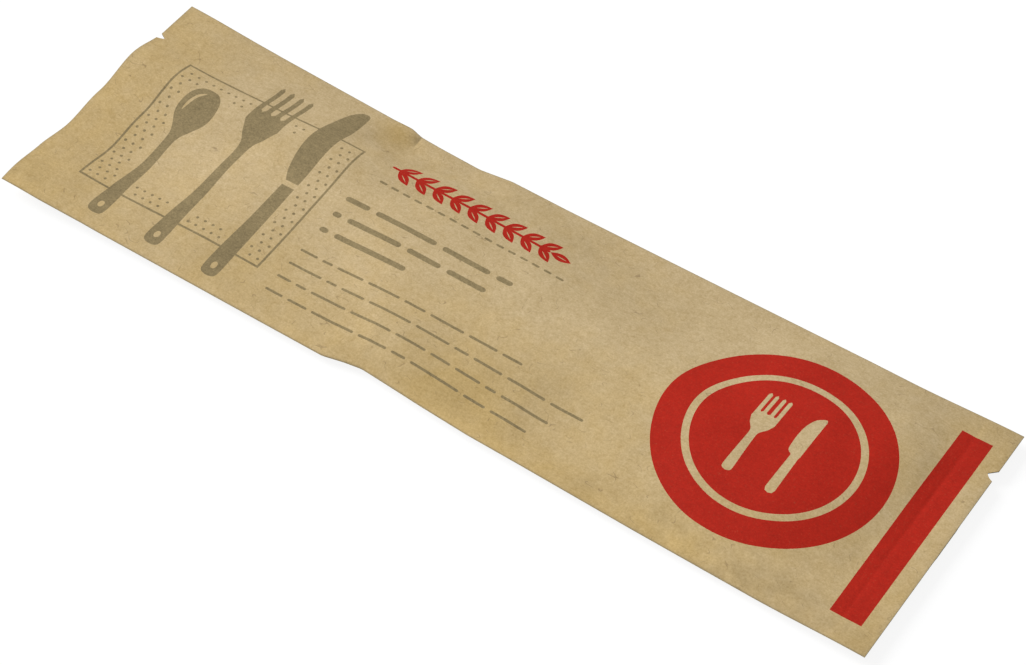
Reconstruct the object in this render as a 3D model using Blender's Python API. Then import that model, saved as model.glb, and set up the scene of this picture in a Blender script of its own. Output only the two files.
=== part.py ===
"""A flat kraft-paper packet that holds a knife, a fork, a coffee spoon and a napkin.

The packet lies on its back. It is a tube of paper with two folded long edges, a seam along its
back, and a pressed seal with a tear notch at each end. It is sealed, so it is one closed solid
with the low swell of what it holds. Lengths are in metres. +X runs along the packet, +Y across it,
+Z up, and the origin is on the surface below its middle.
"""

import math

import bmesh
import bpy
from mathutils import Matrix, Vector
from mathutils.geometry import delaunay_2d_cdt

# The paper
PACKET_LENGTH = 0.2400
PACKET_WIDTH = 0.0755
SEAL_LENGTH = 0.0090
SEAL_THICKNESS = 0.0003

# How high it lies: its long folds, and how far the ends rise above them
FOLD_HEIGHT = 0.0019
LEFT_END_RISE = 0.0013
LEFT_RISE_RUN = 0.0300
RIGHT_END_RISE = 0.0010
RIGHT_RISE_RUN = 0.0300

# The swell of the contents, above and below the long folds
TOP_SWELL = 0.0040
BACK_SWELL = 0.0030
SWELL_SHOULDER = 2.0
DENT_GAIN = 4.0
LEFT_RAMP = 0.0680
RIGHT_RAMP = 0.0308

# The seam along the back, folded flat to one side
SEAM_WIDTH = 0.0100
SEAM_THICKNESS = 0.0003
SEAM_EDGE_RUN = 0.0004
SEAM_ROOT_RUN = 0.0012
SEAM_RELIEF_RUN = 0.0050

# The tear notches, one in each end, with their far lips this far from the far fold
NOTCH_FROM_FOLD = 0.0126
NOTCH_DEPTH = 0.0019
LEFT_NOTCH_WIDTH = 0.0021
RIGHT_NOTCH_WIDTH = 0.0035

# The long folds: (place along the length, how far the fold is drawn in) from end to end
FAR_FOLD = (
    (-0.1200, 0.0000),
    (-0.0940, 0.0002),
    (-0.0790, 0.0007),
    (-0.0560, 0.0015),
    (-0.0504, 0.0014),
    (-0.0468, 0.0025),
    (-0.0405, 0.0028),
    (-0.0290, 0.0031),
    (-0.0203, 0.0018),
    (-0.0050, 0.0018),
    (0.0200, 0.0014),
    (0.0480, 0.0009),
    (0.0800, 0.0003),
    (0.1200, 0.0000),
)
NEAR_FOLD = (
    (-0.1200, 0.0000),
    (-0.1090, 0.0001),
    (-0.0960, 0.0007),
    (-0.0600, 0.0010),
    (-0.0254, 0.0011),
    (-0.0203, 0.0024),
    (-0.0156, 0.0032),
    (-0.0095, 0.0028),
    (0.0020, 0.0020),
    (0.0150, 0.0013),
    (0.0300, 0.0011),
    (0.0600, 0.0005),
    (0.1000, 0.0001),
    (0.1200, 0.0000),
)

# The wavy left end: (place across the width, half-length, rise)
END_WAVES = (
    (0.0134, 0.0130, 0.0026),
    (-0.0125, 0.0115, -0.0015),
    (-0.0325, 0.0095, 0.0008),
)
END_WAVE_REACH = 0.0600

# Soft dents and rises of the face: (x, y, half-length, half-width, turn in degrees, rise)
FACE_DENTS = (
    (-0.0999, 0.0214, 0.0320, 0.0260, -9.0, 0.00130),
    (-0.0632, 0.0159, 0.0305, 0.0129, 4.0, 0.00160),
    (-0.0448, 0.0338, 0.0267, 0.0084, 32.0, -0.00130),
    (-0.0369, 0.0292, 0.0277, 0.0082, 16.0, -0.00160),
    (-0.0480, -0.0131, 0.0320, 0.0251, -20.0, -0.00160),
    (-0.0334, 0.0146, 0.0320, 0.0231, -3.0, 0.00060),
    (-0.0094, -0.0339, 0.0196, 0.0260, 26.0, 0.00160),
    (0.0116, -0.0254, 0.0102, 0.0183, 2.0, -0.00050),
    (0.0209, 0.0256, 0.0320, 0.0237, -10.0, -0.00160),
    (0.0285, -0.0238, 0.0232, 0.0190, 32.0, -0.00160),
    (0.0469, 0.0186, 0.0320, 0.0260, -8.0, -0.00160),
    (0.0479, -0.0281, 0.0195, 0.0247, -1.0, -0.00100),
    (0.0526, 0.0005, 0.0285, 0.0133, -25.0, 0.00060),
    (0.0673, -0.0342, 0.0090, 0.0174, 31.0, -0.00055),
    (0.0763, 0.0205, 0.0143, 0.0087, 15.0, -0.00045),
    (0.0985, 0.0186, 0.0320, 0.0131, -81.0, 0.00055),
    (0.1120, -0.0175, 0.0320, 0.0250, -28.0, -0.00045),
)

# The printed plate, a disc with a bare ring, and the band beside it
PLATE_RADIUS = 0.0285
PLATE_RING_OUTER = 0.0215
PLATE_RING_INNER = 0.0197
PLATE_FROM_RIGHT_END = 0.0450
BAND_WIDTH = 0.0080
BAND_LENGTH = 0.0620
BAND_FROM_RIGHT_END = 0.0046

# The bare fork and knife on the plate, as shares of the printed ones
SMALL_FORK_LENGTHS = 0.43
SMALL_KNIFE_LENGTHS = 0.40
SMALL_WIDTHS = 0.62
SMALL_SPACING = 0.0112
SMALL_FOOT = -0.0130

# The printed sprig, a stem with pairs of leaves, and the dashes below it
STEM_LENGTH = 0.0460
STEM_WIDTH = 0.0008
STEM_FROM_LEFT_END = 0.0750
STEM_FROM_MIDDLE = 0.0200
LEAF_LENGTH = 0.0058
LEAF_WIDTH = 0.0026
LEAF_TURN = 38.0
LEAF_PAIRS = 9
DASH_LENGTH = 0.0022
DASH_WIDTH = 0.0007
DASH_PITCH = 0.0034
DASH_COUNT = 16
DASHES_FROM_LEFT_END = 0.0756
DASHES_FROM_MIDDLE = 0.0136

# The printed rows of bars: (place across the packet, width, gap, bar lengths)
BARS_FROM_LEFT_END = 0.0720
BAR_ROWS = (
    (0.0046, 0.0015, 0.0019, (0.0070, 0.0175, 0.0135, 0.0045)),
    (-0.0008, 0.0015, 0.0019, (0.0024, 0.0155, 0.0095, 0.0110)),
    (-0.0062, 0.0015, 0.0019, (0.0024, 0.0205)),
    (-0.0140, 0.0007, 0.0014, (0.0050, 0.0030, 0.0075, 0.0090, 0.0060, 0.0095, 0.0080, 0.0055)),
    (-0.0187, 0.0007, 0.0014, (0.0095, 0.0030, 0.0065, 0.0120, 0.0095, 0.0040, 0.0080, 0.0105, 0.0090)),
    (-0.0234, 0.0007, 0.0014, (0.0040, 0.0030, 0.0100, 0.0115, 0.0085, 0.0055, 0.0070, 0.0030, 0.0130)),
    (-0.0281, 0.0007, 0.0014, (0.0050, 0.0055, 0.0120, 0.0080, 0.0040, 0.0135, 0.0060, 0.0100)),
)

# The printed spoon, fork and knife
FIGURE_FROM_LEFT_END = 0.0240
FIGURE_PITCH = 0.0170
FIGURE_FOOT = -0.0330
SPOON_LENGTH = 0.0480
SPOON_BOWL_LENGTH = 0.0150
SPOON_BOWL_WIDTH = 0.0100
FORK_LENGTH = 0.0610
FORK_HEAD_WIDTH = 0.0098
FORK_HEAD_LENGTH = 0.0110
TINE_LENGTH = 0.0100
TINE_WIDTH = 0.0013
TINE_COUNT = 4
KNIFE_LENGTH = 0.0660
KNIFE_BLADE_LENGTH = 0.0310
KNIFE_BLADE_WIDTH = 0.0072
HANDLE_WIDTH = 0.0046
NECK_WIDTH = 0.0026

# The printed outline of a napkin behind them
NAPKIN_FROM_LEFT_END = 0.0130
NAPKIN_LENGTH = 0.0540
NAPKIN_WIDTH = 0.0445
NAPKIN_FROM_MIDDLE = -0.0245
NAPKIN_LINE = 0.0006

# How finely the sheets are laid out
FACE_SPACING = 0.0032
BACK_SPACING = 0.0045
ARC_STEPS = 6
LEAF_STEPS = 6
DISC_STEPS = 28
MM = 1000.0

HALF_LENGTH = PACKET_LENGTH / 2
HALF_WIDTH = PACKET_WIDTH / 2


def clamp(value):
    return min(1.0, max(0.0, value))


def ease(value):
    """0 to 1 with a level start and end."""
    t = clamp(value)
    return t * t * (3.0 - 2.0 * t)


def between(points, place):
    """The value at a place on a line through (place, value) points."""
    for (a, low), (b, high) in zip(points, points[1:]):
        if place <= b:
            return low + (high - low) * clamp((place - a) / (b - a))
    return points[-1][1]


# Form of the packet


def drawn_in(fold, x):
    """How far a long fold is drawn in at x. Its points keep their share of the length."""
    stretch = HALF_LENGTH / fold[-1][0]
    return between([(place * stretch, inward) for place, inward in fold], x)


def far_edge(x):
    return HALF_WIDTH - drawn_in(FAR_FOLD, x)


def near_edge(x):
    return -HALF_WIDTH + drawn_in(NEAR_FOLD, x)


def end_wave(x, y):
    """The rise and fall of the left end, which dies out along the packet."""
    fade = 1.0 - ease((x + HALF_LENGTH - SEAL_LENGTH) / END_WAVE_REACH)
    rise = 0.0
    for place, reach, height in END_WAVES:
        rise += height * (1.0 - ease(abs(y - place) / reach))
    return rise * fade


def fold_height(x, y):
    """The height of the folds and of the seals, which rise a little towards both ends."""
    rise, run = (LEFT_END_RISE, LEFT_RISE_RUN) if x < 0.0 else (RIGHT_END_RISE, RIGHT_RISE_RUN)
    return FOLD_HEIGHT + rise * (1.0 - ease((HALF_LENGTH - abs(x)) / run)) + end_wave(x, y)


def swell(x, y):
    """0 at the folds and seals, 1 where the contents hold the sheets furthest apart."""
    inside = HALF_LENGTH - SEAL_LENGTH - abs(x)
    if x < 0.0:
        along = ease(inside / LEFT_RAMP)
    else:
        along = math.sin(0.5 * math.pi * clamp(inside / RIGHT_RAMP))
    across = y / (far_edge(x) if y > 0.0 else near_edge(x))
    return along * (1.0 - min(1.0, across) ** SWELL_SHOULDER)


def dents(x, y):
    """The soft dents and rises of the face."""
    rise = 0.0
    for place_x, place_y, reach_x, reach_y, turn, height in FACE_DENTS:
        away = Matrix.Rotation(math.radians(-turn), 2) @ Vector((x - place_x, y - place_y))
        rise += height * (1.0 - ease(math.hypot(away.x / reach_x, away.y / reach_y)))
    return rise


def face_height(x, y):
    share = swell(x, y)
    lift = TOP_SWELL * share + dents(x, y) * clamp(DENT_GAIN * share)
    return fold_height(x, y) + 0.5 * SEAL_THICKNESS + lift


def back_height(x, y):
    """The back, pressed flat where it lies on the surface, with its seam folded to one side."""
    sheet = fold_height(x, y) - 0.5 * SEAL_THICKNESS - BACK_SWELL * swell(x, y)
    from_seam = max(0.0, abs(y) - 0.5 * SEAM_WIDTH)
    run = SEAM_EDGE_RUN if y > 0.0 else SEAM_ROOT_RUN
    seam = SEAM_THICKNESS * (1.0 - clamp(from_seam / run))
    relief = SEAM_THICKNESS * (1.0 - ease(from_seam / SEAM_RELIEF_RUN))
    return max(relief, sheet) - seam


# Flat layout of the sheets


def filled(specials, spacing):
    """Places from the first special to the last, with even steps between each two."""
    places = []
    ordered = sorted(specials)
    for start, end in zip(ordered, ordered[1:]):
        steps = max(1, round((end - start) / spacing))
        places += [start + (end - start) * step / steps for step in range(steps)]
    return places + [ordered[-1]]


def seam_lines():
    """Where the seam's two edges run, each as the lines at the top and the foot of its step."""
    half = 0.5 * SEAM_WIDTH
    return (-half - SEAM_ROOT_RUN, -half, half, half + SEAM_EDGE_RUN)


def crease_places():
    return (-HALF_LENGTH + SEAL_LENGTH, HALF_LENGTH - SEAL_LENGTH)


def notch(width, end):
    """One tear notch, from its near lip to its far lip: a rounded lip, the tip and a straight cut."""
    far_lip = HALF_WIDTH - NOTCH_FROM_FOLD
    shape = ((0.0, 1.0), (0.30, 0.93), (0.62, 0.80), (1.0, 0.55), (0.0, 0.0))
    return [(end * (HALF_LENGTH - NOTCH_DEPTH * deep), far_lip - width * down) for deep, down in shape]


def cut_end(width, end):
    """One end of the packet from the near fold to the far fold."""
    cut = notch(width, end)
    below = filled((-HALF_WIDTH, *seam_lines(), cut[0][1]), FACE_SPACING)
    above = filled((cut[-1][1], HALF_WIDTH), FACE_SPACING)
    straight = [(end * HALF_LENGTH, y) for y in below[:-1]]
    return straight + cut + [(end * HALF_LENGTH, y) for y in above[1:]]


def long_fold(fold, edge):
    """One long edge from the left end to the right end, without its corners."""
    stretch = HALF_LENGTH / fold[-1][0]
    places = {round(place * stretch, 6) for place, _ in fold}
    places |= {round(place, 6) for place in crease_places()}
    return [(x, edge(x)) for x in filled(places, FACE_SPACING)[1:-1]]


def packet_outline():
    """The packet seen from above, anticlockwise from its near left corner."""
    near = long_fold(NEAR_FOLD, near_edge)
    far = long_fold(FAR_FOLD, far_edge)
    right = cut_end(RIGHT_NOTCH_WIDTH, 1.0)
    left = cut_end(LEFT_NOTCH_WIDTH, -1.0)
    return near + right + far[::-1] + left[::-1]


def crease_lines():
    return [[(x, near_edge(x)), (x, far_edge(x))] for x in crease_places()]


def back_lines():
    seams = [[(-HALF_LENGTH, y), (HALF_LENGTH, y)] for y in seam_lines()]
    return crease_lines() + seams


def stepped(line, spacing):
    """A line of points with even steps no longer than the spacing between each two."""
    points = []
    for (ax, ay), (bx, by) in zip(line, line[1:]):
        steps = max(1, math.ceil(math.hypot(bx - ax, by - ay) / spacing))
        points += [(ax + (bx - ax) * step / steps, ay + (by - ay) * step / steps) for step in range(steps)]
    return points + [line[-1]]


def within(x, y, loop):
    """Whether a point is inside a closed loop."""
    odd = False
    for (ax, ay), (bx, by) in zip(loop, loop[1:] + loop[:1]):
        if (ay > y) != (by > y) and x < ax + (y - ay) * (bx - ax) / (by - ay):
            odd = not odd
    return odd


def off(x, y, start, end):
    """The distance of a point from a straight line between two points."""
    run_x, run_y = end[0] - start[0], end[1] - start[1]
    share = ((x - start[0]) * run_x + (y - start[1]) * run_y) / (run_x**2 + run_y**2)
    share = clamp(share)
    return math.hypot(x - start[0] - share * run_x, y - start[1] - share * run_y)


def filling(outline, sides, spacing):
    """Points in staggered rows, inside the outline and clear of every side."""
    gap = 0.45 * spacing
    row_pitch = spacing * math.sqrt(0.75)
    rows = round(PACKET_WIDTH / row_pitch)
    columns = round(PACKET_LENGTH / spacing)
    points = []
    for row in range(1, rows):
        y = -HALF_WIDTH + row * PACKET_WIDTH / rows
        for column in range(columns):
            x = -HALF_LENGTH + (column + 0.25 + 0.5 * (row % 2)) * PACKET_LENGTH / columns
            if within(x, y, outline) and all(off(x, y, a, b) > gap for a, b in sides):
                points.append((x, y))
    return points


def sheet_layout(outline, lines, loops, spacing):
    """Points and triangles of a flat sheet, with edges along the lines and the loops."""
    drawn = [outline + outline[:1]]
    drawn += [stepped(line, spacing) for line in lines]
    drawn += [stepped(loop + loop[:1], spacing) for loop in loops]
    points = []
    edges = []
    for line in drawn:
        edges += [(len(points) + step, len(points) + step + 1) for step in range(len(line) - 1)]
        points += line
    points += filling(outline, [(points[a], points[b]) for a, b in edges], spacing)
    coords = [Vector(point) * MM for point in points]
    laid, _, faces, _, _, _ = delaunay_2d_cdt(coords, edges, [], 0, 1e-4)
    flat = [(point.x / MM, point.y / MM) for point in laid]
    kept = []
    for face in faces:
        x, y = (sum(flat[corner][axis] for corner in face) / 3 for axis in (0, 1))
        if within(x, y, outline):
            kept.append((tuple(face), x, y))
    return flat, kept


# Print


def arc(x, y, reach_x, reach_y, start, end, steps):
    """Points along part of an ellipse, from one angle to another in degrees."""
    angles = [math.radians(start + (end - start) * step / steps) for step in range(steps + 1)]
    return [(x + reach_x * math.cos(angle), y + reach_y * math.sin(angle)) for angle in angles]


def disc(x, y, radius):
    return arc(x, y, radius, radius, 0.0, 360.0, DISC_STEPS)[:-1]


def box(left, right, low, high):
    return [(left, low), (right, low), (right, high), (left, high)]


def upright_bar(x, foot, top, foot_width, top_width):
    """A bar with round ends that may taper from its foot to its top."""
    low, high = 0.5 * foot_width, 0.5 * top_width
    lower = arc(x, foot + low, low, low, 180.0, 360.0, ARC_STEPS)
    upper = arc(x, top - high, high, high, 0.0, 180.0, ARC_STEPS)
    return lower + upper


def level_bar(left, y, length, width):
    """A plain bar along the packet with round ends."""
    half = 0.5 * width
    right_end = arc(left + length - half, y, half, half, -90.0, 90.0, ARC_STEPS // 2)
    left_end = arc(left + half, y, half, half, 90.0, 270.0, ARC_STEPS // 2)
    return right_end + left_end


def plate():
    """A disc with a bare ring, fork and knife, and a band: each shape is its outline and its holes."""
    x = HALF_LENGTH - PLATE_FROM_RIGHT_END
    rim = [disc(x, 0.0, PLATE_RADIUS), disc(x, 0.0, PLATE_RING_OUTER)]
    small_fork = fork(x - 0.5 * SMALL_SPACING, SMALL_FOOT, SMALL_FORK_LENGTHS, SMALL_WIDTHS)
    small_knife = knife(x + 0.5 * SMALL_SPACING, SMALL_FOOT, SMALL_KNIFE_LENGTHS, SMALL_WIDTHS)
    bare = [shape[0] for shape in small_fork + small_knife]
    middle = [disc(x, 0.0, PLATE_RING_INNER)] + bare
    right = HALF_LENGTH - BAND_FROM_RIGHT_END
    half = 0.5 * BAND_LENGTH
    return [rim, middle, [box(right - BAND_WIDTH, right, -half, half)]]


def leaf(x, y, turn):
    """A leaf with two pointed ends. Its foot is at the place, and it points at the turn in degrees."""
    shares = [step / LEAF_STEPS for step in range(LEAF_STEPS + 1)]
    upper = [(LEAF_LENGTH * share, 0.5 * LEAF_WIDTH * math.sin(math.pi * share)) for share in shares]
    outline = upper + [(along, -across) for along, across in upper[-2:0:-1]]
    turned = [Matrix.Rotation(math.radians(turn), 2) @ Vector(point) for point in outline]
    return [(x + point.x, y + point.y) for point in turned]


def sprig():
    """A stem along the packet with pairs of leaves and one leaf at its tip."""
    left = -HALF_LENGTH + STEM_FROM_LEFT_END
    y = STEM_FROM_MIDDLE
    pitch = STEM_LENGTH / LEAF_PAIRS
    shapes = [[level_bar(left, y, STEM_LENGTH, STEM_WIDTH)], [leaf(left + STEM_LENGTH, y, 0.0)]]
    for pair in range(LEAF_PAIRS):
        x = left + (pair + 0.4) * pitch
        shapes += [[leaf(x, y, turn)] for turn in (LEAF_TURN, -LEAF_TURN)]
    return shapes


def dash_row():
    left = -HALF_LENGTH + DASHES_FROM_LEFT_END
    starts = [left + step * DASH_PITCH for step in range(DASH_COUNT)]
    return [[level_bar(start, DASHES_FROM_MIDDLE, DASH_LENGTH, DASH_WIDTH)] for start in starts]


def bar_rows():
    shapes = []
    for y, width, gap, lengths in BAR_ROWS:
        left = -HALF_LENGTH + BARS_FROM_LEFT_END
        for length in lengths:
            shapes.append([level_bar(left, y, length, width)])
            left += length + gap
    return shapes


def spoon(x, foot):
    top = foot + SPOON_LENGTH
    half_bowl = 0.5 * SPOON_BOWL_LENGTH
    bowl = arc(x, top - half_bowl, 0.5 * SPOON_BOWL_WIDTH, half_bowl, 0.0, 360.0, DISC_STEPS)[:-1]
    handle = upright_bar(x, foot, top - half_bowl, HANDLE_WIDTH, NECK_WIDTH)
    return [[bowl], [handle]]


def fork(x, foot, lengths=1.0, widths=1.0):
    """A table fork, with its lengths and widths as shares of the full ones."""
    top = foot + FORK_LENGTH * lengths
    crown = top - TINE_LENGTH * lengths
    half = 0.5 * FORK_HEAD_WIDTH * widths
    head_length = FORK_HEAD_LENGTH * lengths
    head = [(x + half, crown), (x - half, crown)]
    head += arc(x, crown - 0.4 * head_length, half, 0.6 * head_length, 180.0, 360.0, ARC_STEPS)
    handle = upright_bar(x, foot, crown - 0.5 * head_length, HANDLE_WIDTH * widths, NECK_WIDTH * widths)
    tine_width = TINE_WIDTH * widths
    pitch = (2.0 * half - tine_width) / (TINE_COUNT - 1)
    shapes = [[head], [handle]]
    for tine in range(TINE_COUNT):
        tine_x = x - half + 0.5 * tine_width + tine * pitch
        shapes.append([upright_bar(tine_x, crown - tine_width, top, tine_width, tine_width)])
    return shapes


def knife(x, foot, lengths=1.0, widths=1.0):
    """A table knife: its blade has a straight back and a full, rounded cutting edge."""
    top = foot + KNIFE_LENGTH * lengths
    blade = KNIFE_BLADE_LENGTH * lengths
    neck = NECK_WIDTH * widths
    full = KNIFE_BLADE_WIDTH * widths
    back = x + 0.5 * neck
    edge = arc(back, top - 0.4 * blade, full, 0.4 * blade, 90.0, 180.0, ARC_STEPS)
    edge += [(back - full, top - 0.9 * blade), (back - neck, top - blade), (back, top - blade)]
    handle = upright_bar(x, foot, top - blade + neck, HANDLE_WIDTH * widths, neck)
    return [[edge], [handle]]


def cutlery():
    first = -HALF_LENGTH + FIGURE_FROM_LEFT_END
    shapes = spoon(first, FIGURE_FOOT) + fork(first + FIGURE_PITCH, FIGURE_FOOT)
    return shapes + knife(first + 2 * FIGURE_PITCH, FIGURE_FOOT)


def napkin():
    """The outline of a folded napkin."""
    left = -HALF_LENGTH + NAPKIN_FROM_LEFT_END
    right = left + NAPKIN_LENGTH
    low = NAPKIN_FROM_MIDDLE
    high = low + NAPKIN_WIDTH
    line = NAPKIN_LINE
    return [[box(left, right, low, high), box(left + line, right - line, low + line, high - line)]]


def printed(shapes, x, y):
    """Whether a point is on any of the shapes and in none of that shape's holes."""
    for outer, *holes in shapes:
        if within(x, y, outer) and not any(within(x, y, hole) for hole in holes):
            return True
    return False


# Materials


def paper_material(name, colour, roughness):
    material = bpy.data.materials.new(name)
    material.use_nodes = True
    shader = material.node_tree.nodes["Principled BSDF"]
    shader.inputs["Base Color"].default_value = (*colour, 1.0)
    shader.inputs["Roughness"].default_value = roughness
    shader.inputs["Metallic"].default_value = 0.0
    material.diffuse_color = (*colour, 1.0)
    return material


def packet_materials():
    """Bare paper, red print and taupe print, in the order of the slots."""
    return [
        paper_material("kraft_paper", (0.515, 0.381, 0.188), 0.85),
        paper_material("red_print", (0.445, 0.025, 0.017), 0.70),
        paper_material("taupe_print", (0.271, 0.220, 0.122), 0.80),
    ]


# Building the solid


def add_sheet(bm, layout, height, slot_at):
    """Lifts a flat layout to its height. It returns the edge of the sheet."""
    flat, faces = layout
    used = sorted({corner for face, _, _ in faces for corner in face})
    corners = {index: bm.verts.new((*flat[index], height(*flat[index]))) for index in used}
    made = []
    for face, x, y in faces:
        added = bm.faces.new([corners[index] for index in face])
        added.material_index = slot_at(x, y)
        made.append(added)
    edges = {edge for face in made for edge in face.edges}
    return [edge for edge in edges if len(edge.link_faces) == 1]


def build_packet(materials):
    outline = packet_outline()
    red = plate() + sprig()
    taupe = dash_row() + bar_rows() + cutlery() + napkin()
    loops = [loop for shape in red + taupe for loop in shape]

    def slot_at(x, y):
        if printed(red, x, y):
            return 1
        return 2 if printed(taupe, x, y) else 0

    bm = bmesh.new()
    face = sheet_layout(outline, crease_lines(), loops, FACE_SPACING)
    back = sheet_layout(outline, back_lines(), [], BACK_SPACING)
    rim = add_sheet(bm, face, face_height, slot_at)
    rim += add_sheet(bm, back, back_height, lambda x, y: 0)
    bmesh.ops.bridge_loops(bm, edges=rim)
    bmesh.ops.recalc_face_normals(bm, faces=bm.faces)
    mesh = bpy.data.meshes.new("sealed_packet")
    bm.to_mesh(mesh)
    bm.free()
    for material in materials:
        mesh.materials.append(material)
    mesh.shade_smooth()
    mesh.set_sharp_from_angle(angle=math.radians(30.0))
    return bpy.data.objects.new("sealed_packet", mesh)


def main():
    for old in list(bpy.data.objects):
        bpy.data.objects.remove(old, do_unlink=True)
    collection = bpy.data.collections.new("cutlery_packet")
    bpy.context.scene.collection.children.link(collection)
    collection.objects.link(build_packet(packet_materials()))


main()
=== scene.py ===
import math

import bpy
import numpy as np
from mathutils import Matrix, Vector, noise
from mathutils.geometry import delaunay_2d_cdt
from mathutils.kdtree import KDTree


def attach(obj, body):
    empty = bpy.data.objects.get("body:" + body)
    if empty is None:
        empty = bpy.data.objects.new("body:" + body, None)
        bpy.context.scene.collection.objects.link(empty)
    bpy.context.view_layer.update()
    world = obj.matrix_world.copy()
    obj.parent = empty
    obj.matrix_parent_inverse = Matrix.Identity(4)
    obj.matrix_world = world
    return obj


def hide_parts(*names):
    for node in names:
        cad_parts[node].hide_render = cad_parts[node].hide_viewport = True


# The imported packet. +X runs along it, +Y across it, +Z up. Lengths below are in millimetres.
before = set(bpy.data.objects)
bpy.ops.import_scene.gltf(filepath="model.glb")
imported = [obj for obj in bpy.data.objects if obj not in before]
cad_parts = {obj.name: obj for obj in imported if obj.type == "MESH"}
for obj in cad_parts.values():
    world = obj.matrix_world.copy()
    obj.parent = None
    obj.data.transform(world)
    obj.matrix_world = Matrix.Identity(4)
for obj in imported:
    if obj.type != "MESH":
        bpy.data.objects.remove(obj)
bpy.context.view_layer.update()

MM = 0.001

# The packet, with the depth of its seals, the thickness of both plies at the rim, and the radius of its folds
LENGTH = 240.0
WIDTH = 75.5
SEAL = 9.0
PLIES = 0.3
FOLD_RADIUS = 0.15
HALF_LENGTH = 0.5 * LENGTH
HALF_WIDTH = 0.5 * WIDTH

# How high it lies: its long folds, and how far the ends rise above them
FOLD_HEIGHT = 1.9
LEFT_END_RISE = 1.3
RIGHT_END_RISE = 1.0
END_RISE_RUN = 30.0

# The swell of the contents above and below the folds, how full it is, how soon the dents come with it, and
# its rise from each seal
TOP_SWELL = 4.0
BACK_SWELL = 3.0
SWELL_SHOULDER = 2.0
DENT_GAIN = 4.0
LEFT_RAMP = 68.0
RIGHT_RAMP = 30.8

# The seam along the back, folded flat to one side, and how its free edge, its root and its bed run out
SEAM_WIDTH = 10.0
SEAM_THICKNESS = 0.3
SEAM_EDGE_RUN = 0.4
SEAM_ROOT_RUN = 1.2
SEAM_RELIEF_RUN = 5.0

# The tear notches, and their shape from the near lip to the far one: (share of the depth, share of the width)
NOTCH_FROM_FOLD = 12.6
NOTCH_DEPTH = 1.9
LEFT_NOTCH_WIDTH = 2.1
RIGHT_NOTCH_WIDTH = 3.5
NOTCH_SHAPE = (
    (0.0, 1.0), (0.16, 0.985), (0.32, 0.93), (0.50, 0.87), (0.70, 0.78), (0.88, 0.67), (1.0, 0.55),
    (0.66, 0.37), (0.33, 0.18), (0.0, 0.0),
)

# The long folds: (place along the length, how far the fold is drawn in), and how soft their turns are
FAR_FOLD = (
    (-120.0, 0.0), (-94.0, 0.2), (-79.0, 0.7), (-56.0, 1.5), (-50.4, 1.4), (-46.8, 2.5), (-40.5, 2.8),
    (-29.0, 3.1), (-20.3, 1.8), (-5.0, 1.8), (20.0, 1.4), (48.0, 0.9), (80.0, 0.3), (120.0, 0.0),
)
NEAR_FOLD = (
    (-120.0, 0.0), (-109.0, 0.1), (-96.0, 0.7), (-60.0, 1.0), (-25.4, 1.1), (-20.3, 2.4), (-15.6, 3.2),
    (-9.5, 2.8), (2.0, 2.0), (15.0, 1.3), (30.0, 1.1), (60.0, 0.5), (100.0, 0.1), (120.0, 0.0),
)
FOLD_SOFTNESS = 0.5

# The wavy left end: (place across the width, half-length, rise)
END_WAVES = ((13.4, 13.0, 2.6), (-12.5, 11.5, -1.5), (-32.5, 9.5, 0.8))
END_WAVE_REACH = 60.0

# Soft dents and rises of the face, fitted by a program to the shading in the photo and rounded: (x, y,
# half-length, half-width, turn in degrees, rise)
FACE_DENTS = (
    (-99.9, 21.4, 32.0, 26.0, -9.0, 1.3),
    (-63.2, 15.9, 30.5, 12.9, 4.0, 1.6),
    (-44.8, 33.8, 26.7, 8.4, 32.0, -1.3),
    (-36.9, 29.2, 27.7, 8.2, 16.0, -1.6),
    (-48.0, -13.1, 32.0, 25.1, -20.0, -1.6),
    (-33.4, 14.6, 32.0, 23.1, -3.0, 0.6),
    (-9.4, -33.9, 19.6, 26.0, 26.0, 1.6),
    (11.6, -25.4, 10.2, 18.3, 2.0, -0.5),
    (20.9, 25.6, 32.0, 23.7, -10.0, -1.6),
    (28.5, -23.8, 23.2, 19.0, 32.0, -1.6),
    (46.9, 18.6, 32.0, 26.0, -8.0, -1.6),
    (47.9, -28.1, 19.5, 24.7, -1.0, -1.0),
    (52.6, 0.5, 28.5, 13.3, -25.0, 0.6),
    (67.3, -34.2, 9.0, 17.4, 31.0, -0.55),
    (76.3, 20.5, 14.3, 8.7, 15.0, -0.45),
    (98.5, 18.6, 32.0, 13.1, -81.0, 0.55),
    (112.0, -17.5, 32.0, 25.0, -28.0, -0.45),
)

# Fine creases of the face: (start x, start y, end x, end y, half-width, rise), and over what share of its
# length each sets in and fades out
CREASES = (
    (-56.5, -34.0, -38.0, -24.0, 0.9, -0.05),
    (-46.9, 36.4, -46.6, 30.5, 0.8, -0.18),
    (-29.6, 35.4, -29.9, 31.0, 0.8, -0.06),
    (-16.0, -35.0, -23.0, -12.0, 1.8, 0.14),
    (5.5, 31.0, 20.0, 22.0, 1.6, -0.10),
    (57.0, -35.0, 61.5, -31.8, 1.2, -0.07),
    (63.5, -36.4, 69.0, -32.8, 1.0, -0.08),
    (75.0, -36.6, 78.0, -33.0, 0.9, -0.06),
    (83.0, -36.0, 87.0, -33.0, 0.9, -0.07),
    (92.0, -37.0, 98.0, -34.0, 1.0, -0.08),
    (98.0, -36.0, 98.5, -31.0, 0.9, -0.06),
    (109.6, -37.6, 110.2, -32.5, 0.7, -0.08),
)
CREASE_SETS_IN = 0.15
CREASE_FADES = 0.45

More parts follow.
